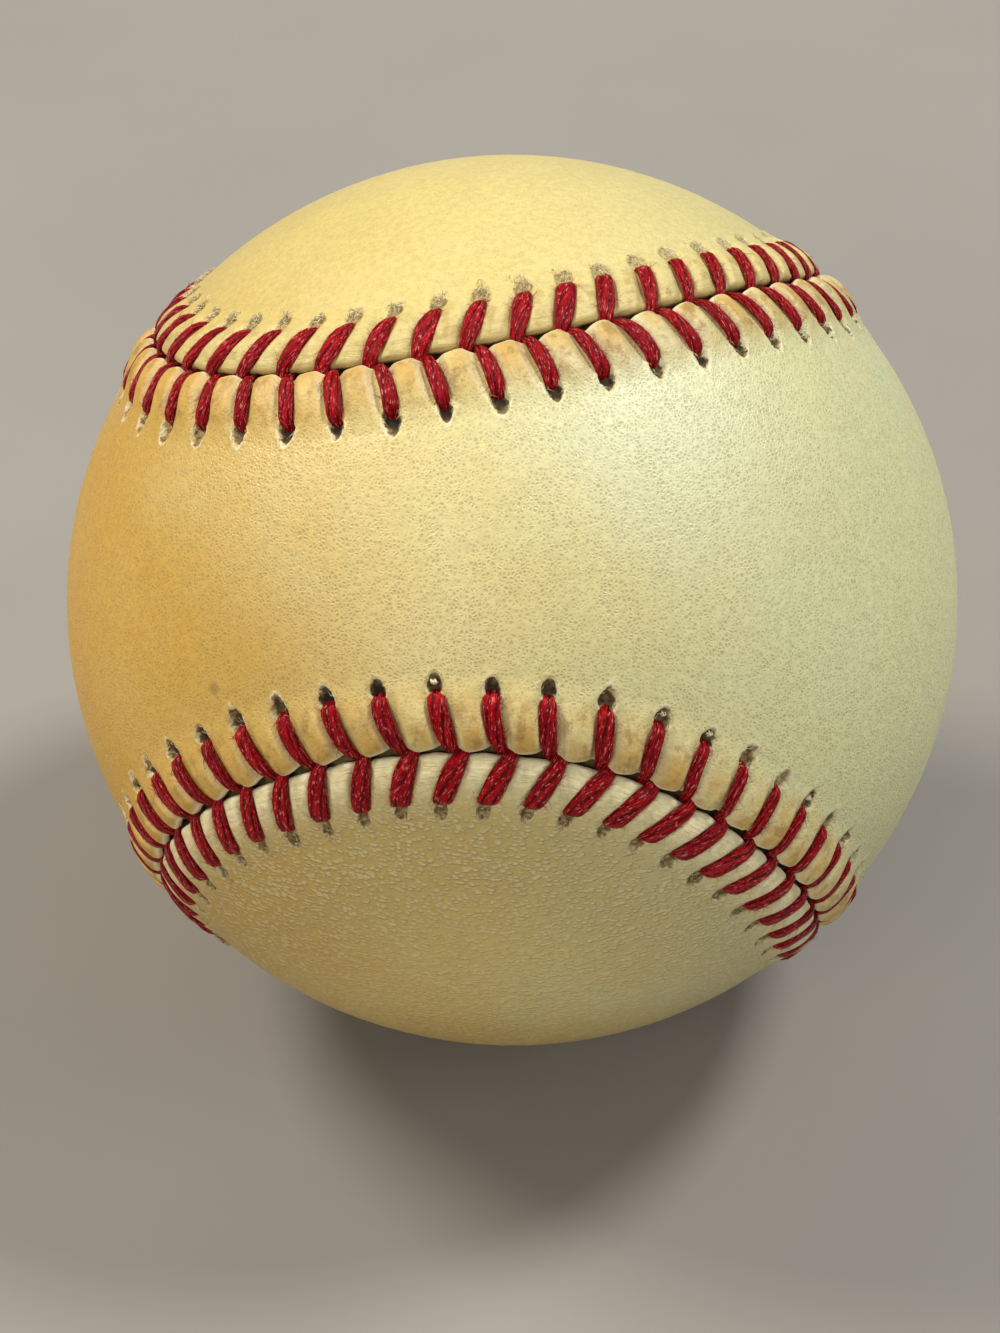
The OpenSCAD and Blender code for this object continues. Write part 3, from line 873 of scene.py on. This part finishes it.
# The pale cut edge, and the tan that panel B's cut edge is painted along the upper seam as the shade on that
# ledge
CUT, UPPER_CUT_SHADE = (246, 238, 200), (206, 180, 118)
HOLE_BROWN, HOLE_FIBRE, HOLE_SHADE_BLACK = (112, 90, 52), (182, 160, 112), (38, 24, 13)
# The bead grain's darker ground and paler tops: partly the grain's tone, partly painted shade and painted
# highlight
GRAIN_LOW_AND_SHADE, GRAIN_HIGH_AND_HIGHLIGHT = (150, 122, 62), (246, 230, 176)
# Where panel A is painted paler and whiter in a soft patch: a painted highlight
PAINTED_HIGHLIGHT_AT = (0.0105, -0.017, 0.0305)
# Heights between which the upper seam, the smooth top and the painted shade lower down begin
UPPER_Z, TOP_Z, UNDER_Z = (0.012, 0.021), (0.014, 0.027), (-0.031, -0.01)
# The grain's rows lie nearly level
GRAIN_TURN = (0.12, 0.05, 0)


class Leather(Material):
    """Aged leather. Panel B's is creased, and coloured another way by the upper seam and by the lower."""

    def __init__(self, name, side):
        super().__init__(name)
        self.side, self.creased = side, side == B
        self.x, _, self.z = self.split(self.where)
        self.lip, self.pit, self.rim = (self.attribute(label) for label in ("lip", "pit", "rim"))
        self.seam = self.attribute("seam", "Vector")
        self.fine = self.noise(1900, 3, 0.65)
        self.upper = self.ramp(self.z, *UPPER_Z)
        self.low = self.ramp(self.z, *TOP_Z, 1, 0)


def hide(m):
    """The hide: deeper amber towards the left and lower down, and greener and paler to the right. This is
    partly its aged colour, partly painted warm light and shade in the amber and the painted whiteness of the
    highlight in the green.
    """
    slow, patch = m.noise(45, 3, 0.55), m.noise(120, 4, 0.6)
    # Deeper amber towards the left and lower down: partly the hide's aged colour, partly painted warm light
    # on the left and painted shade lower down
    toward = m.scaled(m.z, -7, m.scaled(m.x, -22.5, 0.38))
    aged_and_painted_light = m.plus(toward, m.scaled(slow, 0.7, -0.35), m.scaled(patch, 0.4, -0.2))
    green_and_painted_highlight = m.ramp(m.noise(70, 3, where=m.place((1, 1, 1.6))), 0.5, 0.72, 0, 0.35)
    # Greener and paler to the right: partly the hide's own tone, partly the painted whiteness of the
    # highlight
    green_and_painted_highlight = m.plus(green_and_painted_highlight, m.ramp(m.x, -0.008, 0.03, 0, 0.7))
    worn = m.ramp(m.noise(210, 4, 0.65), 0.52, 0.75, 0, 0.3)
    aged_and_painted_light = m.times(m.ramp(aged_and_painted_light, 0, 1.15), 0.95)
    # A soft, paler and whiter patch where the top lamp's highlight falls on panel A: a painted highlight
    highlight_patch = m.node("VectorMath", {0: m.where, 1: PAINTED_HIGHLIGHT_AT}, operation="DISTANCE")["Value"]
    highlight_patch = m.ramp(m.scaled(patch, 0.008, highlight_patch), 0.005, 0.02, 0.55, 0)
    return m.over(CREAM[m.side], (green_and_painted_highlight, GREEN_GREY), (worn, WORN), (aged_and_painted_light, AMBER[m.side]), (highlight_patch, PAINTED_HIGHLIGHT))


def lips(m, colour):
    """The lips' own tint, smudged with brown."""
    tint = m.ramp(m.noise(330, 3), 0.3, 0.62, 0.7 if m.creased else 0.35, 1)
    tint = m.times(m.lip, tint, 0.94 if m.creased else 0.88)
    own = m.mix(m.upper, LIP[B], UPPER_LIP) if m.creased else LIP[A]
    smudge = m.ramp(m.noise(560, 4, 0.7, where=m.place((1.3, 1, 1))), 0.47, 0.64)
    share = m.ramp(m.z, *UPPER_Z, 0.28, 0.8) if m.creased else 0.74
    smudge = m.times(smudge, m.ramp(m.lip, 0.05, 0.75), share)
    return m.over(colour, (tint, own), (smudge, SOILED))


def pores(m):
    warp = {0: m.noise(1400, output=1), 1: (0.00016, 0.00016, 0.00016), 2: m.where}
    warped = m.node("VectorMath", warp, operation="MULTIPLY_ADD")[0]
    ridge = m.cells(warped, 3200, feature="DISTANCE_TO_EDGE")[0]
    some = m.scaled(m.ramp(m.noise(420, 4, 0.65), 0.34, 0.66), 0.42, 0.58)
    pore = m.times(m.ramp(ridge, 0.06, 0.36), some, m.scaled(m.lip, -0.65, 1))
    return m.times(pore, m.ramp(m.low, 0, 1, 0.45, 0.2)) if m.creased else pore


def surface(m, colour, pore):
    """On panel B, painted shade on the top and lower down; then pores, a fine mottle and a few small stains.
    """
    if m.creased:
        # Panel B's top darkened: painted shade
        colour = m.mix(m.ramp(m.low, 0, 1, 0.45, 0), colour, TOP_PAINTED_SHADE)
        # Panel B darker brown towards the bottom: painted shade
        colour = m.mix(m.ramp(m.z, *UNDER_Z, 0.48, 0), colour, LOW_PAINTED_SHADE)
    colour = m.mix(m.times(pore, 0.42), colour, PORE)
    colour = m.mix(1, colour, m.ramp(m.fine, 0.3, 0.7, 0.91, 1.06), "MULTIPLY")
    spot = m.ramp(m.cells(m.where, 95)["Distance"], 0.035, 0.075, 1, 0)
    rare = m.ramp(m.noise(60, 1), 0.6, 0.66)
    return m.mix(m.times(spot, rare, 0.45), colour, STAIN)


def hole_reach(m, hole):
    """Distance from a needle hole's middle, with 1 at its ragged rim."""
    x = m.plus(hole[0], m.scaled(m.noise(2600, 3, 0.6), 0.8, -0.4))
    y = m.plus(hole[1], m.scaled(m.noise(3100, 3, 0.6), 0.7, -0.35), m.scaled(m.noise(1050, 1), 1.1, -0.55))
    return m.math("SQRT", m.plus(m.times(x, x), m.times(y, y)))


def edges_and_holes(m, colour):
    """Pale cut edges and torn rims, and the slit and the holes painted brown, darkening to black deeper in as
    painted shade. The mask of that colour is given as well.
    """
    hole = m.split(m.attribute("hole", "Vector"))
    reach = hole_reach(m, hole)
    end = m.ramp(reach, *((1.07, 1.22) if m.creased else (1.13, 1.34)), 1, 0)
    torn = m.times(m.ramp(reach, 0.93, 1.04), end, m.ramp(m.noise(1300, 2), 0.36, 0.5),
                   m.ramp(hole[1], -0.9, -0.2), m.ramp(m.pit, 0.15, 0.45, 0.35, 0.95))
    # Along the upper seam, panel B's cut edge is painted tan as shade on the ledge
    cut = m.mix(m.upper, CUT, UPPER_CUT_SHADE) if m.creased else CUT
    pale = m.times(m.math("MAXIMUM", m.rim, torn), 0.78)
    shade = m.times(m.ramp(reach, 0.86, 1.02, 1, 0), m.ramp(m.pit, 0.1, 0.45))
    brown = m.mix(m.ramp(m.noise(2300, 3), 0.38, 0.62), HOLE_BROWN, HOLE_FIBRE)
    # Painted shade: darker deeper in the slit and the holes
    inner = m.times(m.ramp(m.pit, 0.45, 0.95), m.ramp(reach, 0.5, 1, 1, 0.35),
                    m.ramp(hole[1], 0.1, 0.85, 1, 0.45))
    return m.over(colour, (pale, cut), (shade, m.mix(inner, brown, HOLE_SHADE_BLACK))), shade


def creases(m, pore):
    """Pores, fine grain, and creases that run from the slit over the lip."""
    grain = m.scaled(pore, -1, m.times(m.fine, 1.1))
    crease = m.noise(1, 4, 0.6, 0.6, m.place((0.42, 0.42, 2.6), source=m.seam))
    amount = m.times(m.lip, 1 if m.creased else 0.45)
    return m.scaled(m.times(crease, amount), 5.6 if m.creased else 2.4, grain)


def beads(m, colour, height):
    """Beads of grain in nearly level rows, low on the ball, which fade away from the seam. Their ground is
    painted darker and their raised tops paler: partly the grain's tone, partly painted shade and painted
    highlight.
    """
    from_seam = m.split(m.seam)[2]
    plain = m.times(m.scaled(m.lip, -1, 1), m.low, m.ramp(from_seam, 9, 19, 1, 0.6))
    rows = m.noise(1, 2, 0.5, 0.4, m.place((500, 500, 2400), GRAIN_TURN))
    bead = m.cells(m.place((1750, 1750, 2900), GRAIN_TURN), 1, 0.9)["Distance"]
    raised = m.math("SUBTRACT", m.scaled(rows, 0.7, 0.05), bead)
    raised = m.times(m.ramp(raised, -0.22, 0.18), plain)
    # Darker ground and paler raised tops: partly grain tone, partly painted shade and painted highlight
    colour = m.over(colour, (m.times(plain, 0.34), GRAIN_LOW_AND_SHADE), (m.times(raised, 0.5), GRAIN_HIGH_AND_HIGHLIGHT))
    return colour, m.scaled(raised, 3.4, height)


def leather_look(name, side):
    m = Leather(name, side)
    pore = pores(m)
    colour, shade = edges_and_holes(m, surface(m, lips(m, hide(m)), pore))
    height = creases(m, pore)
    if m.creased:
        colour, height = beads(m, colour, height)
    rough = m.ramp(m.noise(160, 3), 0.25, 0.75, 0.36, 0.5)
    rough = m.math("MAXIMUM", m.plus(rough, m.times(m.lip, 0.1)), m.times(shade, 0.9))
    return m.done(colour, rough, Normal=m.bump(height, 0.000036, 0.9), Specular_IOR_Level=0.65)


def thread_look(name):
    m = Material(name)
    lay = m.attribute("lay", "Vector")
    fibre = m.noise(0.95, 4, 0.7, where=lay)
    strand = m.noise(2.4, 3, 0.6, where=lay)
    # Small pink-white flecks where the waxed fibres shine: painted glints
    painted_glint = m.noise(1.25, 3, 0.6, where=m.place((1.9, 1, 1), source=lay))
    # Each ply lighter on its crown and darker in the grooves between plies: painted shade
    colour = m.over((80, 0, 3), (m.ramp(m.attribute("ply"), 0, 0.7), (176, 0, 14)),
                    # Fibre streaks painted lighter and darker: painted highlight and shade along the fibres
                    (m.ramp(fibre, 0.52, 0.66, 0, 0.85), (226, 16, 42)),
                    (m.ramp(fibre, 0.36, 0.48, 0.8, 0), (84, 0, 6)),
                    (m.ramp(m.noise(140, 2), 0.4, 0.65, 0, 0.35), (120, 4, 24)),
                    (m.ramp(painted_glint, 0.575, 0.66, 0, 0.84), (250, 140, 136)))
    rough = m.ramp(m.noise(800, 2), 0.3, 0.7, 0.22, 0.38)
    relief = m.bump(m.scaled(strand, 0.6, fibre), 0.00022)
    return m.done(colour, rough, Normal=relief, Specular_IOR_Level=0.15)


def hair_look(name, dark, light, rough):
    m = Material(name)
    blotch = m.noise(2400, 2)
    shade = m.math("ADD", m.attribute("shade"), m.scaled(blotch, 0.6, -0.3), clamp=True)
    rough = m.ramp(blotch, 0.3, 0.7, rough - 0.08, rough + 0.08)
    return m.done(m.mix(shade, dark, light), rough)


def cork_look(name):
    m = Material(name)
    grain = 620
    tone = m.node("SeparateColor", {0: m.cells(m.where, grain)["Color"]})[0]
    edge = m.cells(m.where, grain, feature="DISTANCE_TO_EDGE")[0]
    speck = m.ramp(m.noise(300, 3), 0.55, 0.7, 0, 0.8)
    colour = m.over((104, 66, 40), (tone, (176, 126, 80)), (speck, (52, 36, 28)),
                    (m.ramp(edge, 0, 0.06, 0.8, 0), (60, 38, 24)))
    relief = m.bump(m.plus(m.ramp(edge, 0, 0.1), tone), 0.0002, 0.6)
    return m.done(colour, m.ramp(tone, 0, 1, 0.75, 0.92), Normal=relief)


def rubber_look(name, dark, light):
    m = Material(name)
    bloom = m.noise(90, 5, 0.6)
    colour = m.mix(m.ramp(bloom, 0.3, 0.7), dark, light)
    relief = m.bump(m.scaled(m.noise(3000, 2), 0.6, bloom), 0.00006, 0.6)
    return m.done(colour, m.ramp(bloom, 0.3, 0.7, 0.5, 0.7), Normal=relief)


# How the bands of turns on a winding are turned, in radians
WINDINGS = [(0.3, 0.9, 0.1), (1.4, 0.2, 0.8), (0.7, 1.9, 1.1), (2.2, 0.6, 2), (1, 1.2, 2.9)]


def yarn_look(name, dark, light, yarn_w):
    """Yarn wound round a ball: bands of parallel turns that cross each other, coloured from dark to light
    across each turn with the relief: painted shade.
    """
    m = Material(name)
    yarn_w *= MM
    wave = {"Scale": 2 * math.pi / yarn_w / 20, "Distortion": 1.5, "Detail": 2, "Detail Scale": 0.4}
    height = None
    for i, turn in enumerate(WINDINGS):
        where = m.place(turn=turn)
        band = m.node("TexWave", {"Vector": where, **wave}, wave_type="BANDS", bands_direction="X")[1]
        layer = m.scaled(m.noise(55 + 9 * i, 1, where=where), 3, band)
        height = layer if height is None else m.math("MAXIMUM", height, layer)
    fluff = m.noise(3200, 3)
    # Dark to light across each turn, following the relief: painted shade
    shown = m.ramp(m.scaled(fluff, 0.5, m.math("FRACT", height)), 0.2, 1.2)
    rough = m.ramp(fluff, 0.3, 0.7, 0.82, 0.95)
    relief = m.bump(m.scaled(fluff, 0.3, height), yarn_w * 0.35, 0.8)
    return m.done(m.mix(shown, dark, light), rough, Normal=relief, Sheen_Weight=0.3)


def glue_look(name):
    m = Material(name)
    drip = m.noise(240, 4, 0.6)
    colour = m.mix(m.ramp(drip, 0.35, 0.65), (96, 78, 46), (150, 130, 84))
    return m.done(colour, m.ramp(drip, 0.3, 0.7, 0.35, 0.6), Normal=m.bump(drip, 0.0001, 0.7))


def paint(obj, material):
    obj.data.materials.clear()
    obj.data.materials.append(material)


def dress(obj, material, slot, *nodes):
    paint(obj, material)
    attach(obj, "root")
    if nodes:
        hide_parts(*nodes)


dress(leather_panel("leather_panel_a", A), leather_look("leather_aged", A), "leather", "cover_panel_a")
dress(leather_panel("leather_panel_b", B), leather_look("leather_creased", B), "leather", "cover_panel_b")
dress(thread_mesh("stitching_thread"), thread_look("thread_red"), "red_thread", "seam_thread")
dress(thread_fuzz(), hair_look("fibre_red", (140, 4, 18), (206, 74, 76), 0.6), "red_thread")
dress(leather_fibres(), hair_look("fibre_tan", (184, 158, 108), (248, 240, 208), 0.75), "leather")

# The CAD's inner pieces, with the width of the yarn on each winding
INNER = {
    "cork_core": cork_look("cork_rubber"),
    "inner_shell_upper": rubber_look("rubber_black", (22, 22, 24), (46, 46, 50)),
    "inner_gasket": rubber_look("rubber_gasket", (142, 34, 30), (176, 52, 44)),
    "outer_shell_upper": rubber_look("rubber_red", (134, 28, 26), (170, 44, 38)),
    "thick_wool_winding": yarn_look("wool_grey", (96, 94, 90), (168, 165, 158), 1.5),
    "white_wool_winding": yarn_look("wool_white", (196, 188, 166), (238, 233, 218), 1.1),
    "thin_wool_winding": yarn_look("wool_thin_grey", (108, 105, 100), (176, 172, 164), 0.9),
    "finishing_winding": yarn_look("yarn_fine", (206, 200, 182), (246, 243, 232), 0.5),
    "adhesive_coat": glue_look("glue_dry"),
}
INNER["inner_shell_lower"] = INNER["inner_shell_upper"]
INNER["outer_shell_lower"] = INNER["outer_shell_upper"]
for node, material in INNER.items():
    paint(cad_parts[node], material)

# The floor, and the pale background that it runs into far from the ball
FLOOR_HALF = 4.0
FLOOR_GAP = 0.00002
PALE = srgb(196, 192, 188)
MERGE = (0.3, 1.1)


def floor_look(name):
    m = Material(name)
    cloud = m.noise(9, 4, 0.6)
    colour = m.mix(m.ramp(cloud, 0.3, 0.7), (152, 148, 142), (158, 154, 148))
    m.done(colour, 0.85)
    paper = m.node("Emission", {"Color": PALE})[0]
    away = m.node("VectorMath", {0: m.where}, operation="LENGTH")["Value"]
    seen = m.times(m.ramp(away, *MERGE), m.node("LightPath")["Is Camera Ray"])
    merged = m.node("MixShader", {0: seen, 1: m.bsdf.outputs[0], 2: paper})[0]
    m.put(m.nodes["Material Output"].inputs["Surface"], merged)
    return m.owner


def floor():
    mesh = bpy.data.meshes.new("floor")
    corners = [(x * FLOOR_HALF, y * FLOOR_HALF, -SKIN * MM - FLOOR_GAP)
               for x, y in ((-1, -1), (1, -1), (1, 1), (-1, 1))]
    mesh.from_pydata(corners, [], [(0, 1, 2, 3)])
    mesh.materials.append(floor_look("floor_pale"))
    add_object("floor", mesh)


def studio():
    """A soft sky that lights the ball, and a pale background where the camera looks past it."""
    world = Nodes(bpy.data.worlds.new("studio"))
    bpy.context.scene.world = world.owner
    sky = world.node("Background", {"Color": srgb(236, 236, 238), "Strength": 0.25})[0]
    behind = world.node("Background", {"Color": PALE})[0]
    either = world.node("MixShader", {0: world.node("LightPath")["Is Camera Ray"], 1: sky, 2: behind})[0]
    world.put(world.nodes["World Output"].inputs["Surface"], either)


# Each lamp's direction and distance from the ball, its width, its power and its colour
LAMPS = {
    "lamp_above": ((0.48, 0.16, 0.86), 1.0, 0.24, 5.6, (1.0, 0.985, 0.95)),
    "lamp_left": ((-0.6, 0.22, 0.76), 1.1, 0.4, 7.8, (1.0, 0.95, 0.84)),
    "lamp_right": ((0.8, -0.3, 0.5), 1.2, 0.5, 1.6, (0.94, 0.97, 1.0)),
    "lamp_front": ((-0.46, -0.75, 0.44), 1.2, 0.6, 3.6, (1.0, 0.93, 0.8)),
}


def lamp(name, direction, distance, size, power, colour):
    light = bpy.data.lights.new(name, "AREA")
    light.shape, light.size, light.energy, light.color = "DISK", size, power, colour
    back = unit(np.array(direction))
    right = unit(np.cross((0, 0, 1), back))
    axes = np.stack([right, np.cross(back, right), back, back * distance], -1)
    add_object(name, light).matrix_world = Matrix([*axes.tolist(), (0, 0, 0, 1)])


# The camera, as fitted to the photograph: the focal length and the ball's place off the middle, in pixels
# of a picture this wide, and the distance to the ball
PICTURE_PX = 1000
FOCAL_PX = 3601
MIDDLE_PX = (12.19, -65.33)
DISTANCE = 0.3
LOOK_DOWN = math.radians(40)
SENSOR = 36.0


def camera():
    lens = bpy.data.cameras.new("camera")
    lens.sensor_fit = "HORIZONTAL"
    lens.sensor_width = SENSOR
    lens.lens = FOCAL_PX / PICTURE_PX * SENSOR
    lens.clip_start = 0.01
    obj = add_object("camera", lens)
    c, s = math.cos(LOOK_DOWN), math.sin(LOOK_DOWN)
    right, down, forward = np.array([(1, 0, 0), (0, -s, -c), (0, c, -s)])
    across, below = (pixels / FOCAL_PX for pixels in MIDDLE_PX)
    obj.location = -DISTANCE * (across * right + below * down + forward)
    obj.rotation_euler = (math.pi / 2 - LOOK_DOWN, 0, 0)
    bpy.context.scene.camera = obj


floor()
studio()
for name, numbers in LAMPS.items():
    lamp(name, *numbers)
camera()
bpy.context.scene.view_settings.view_transform = "Standard"
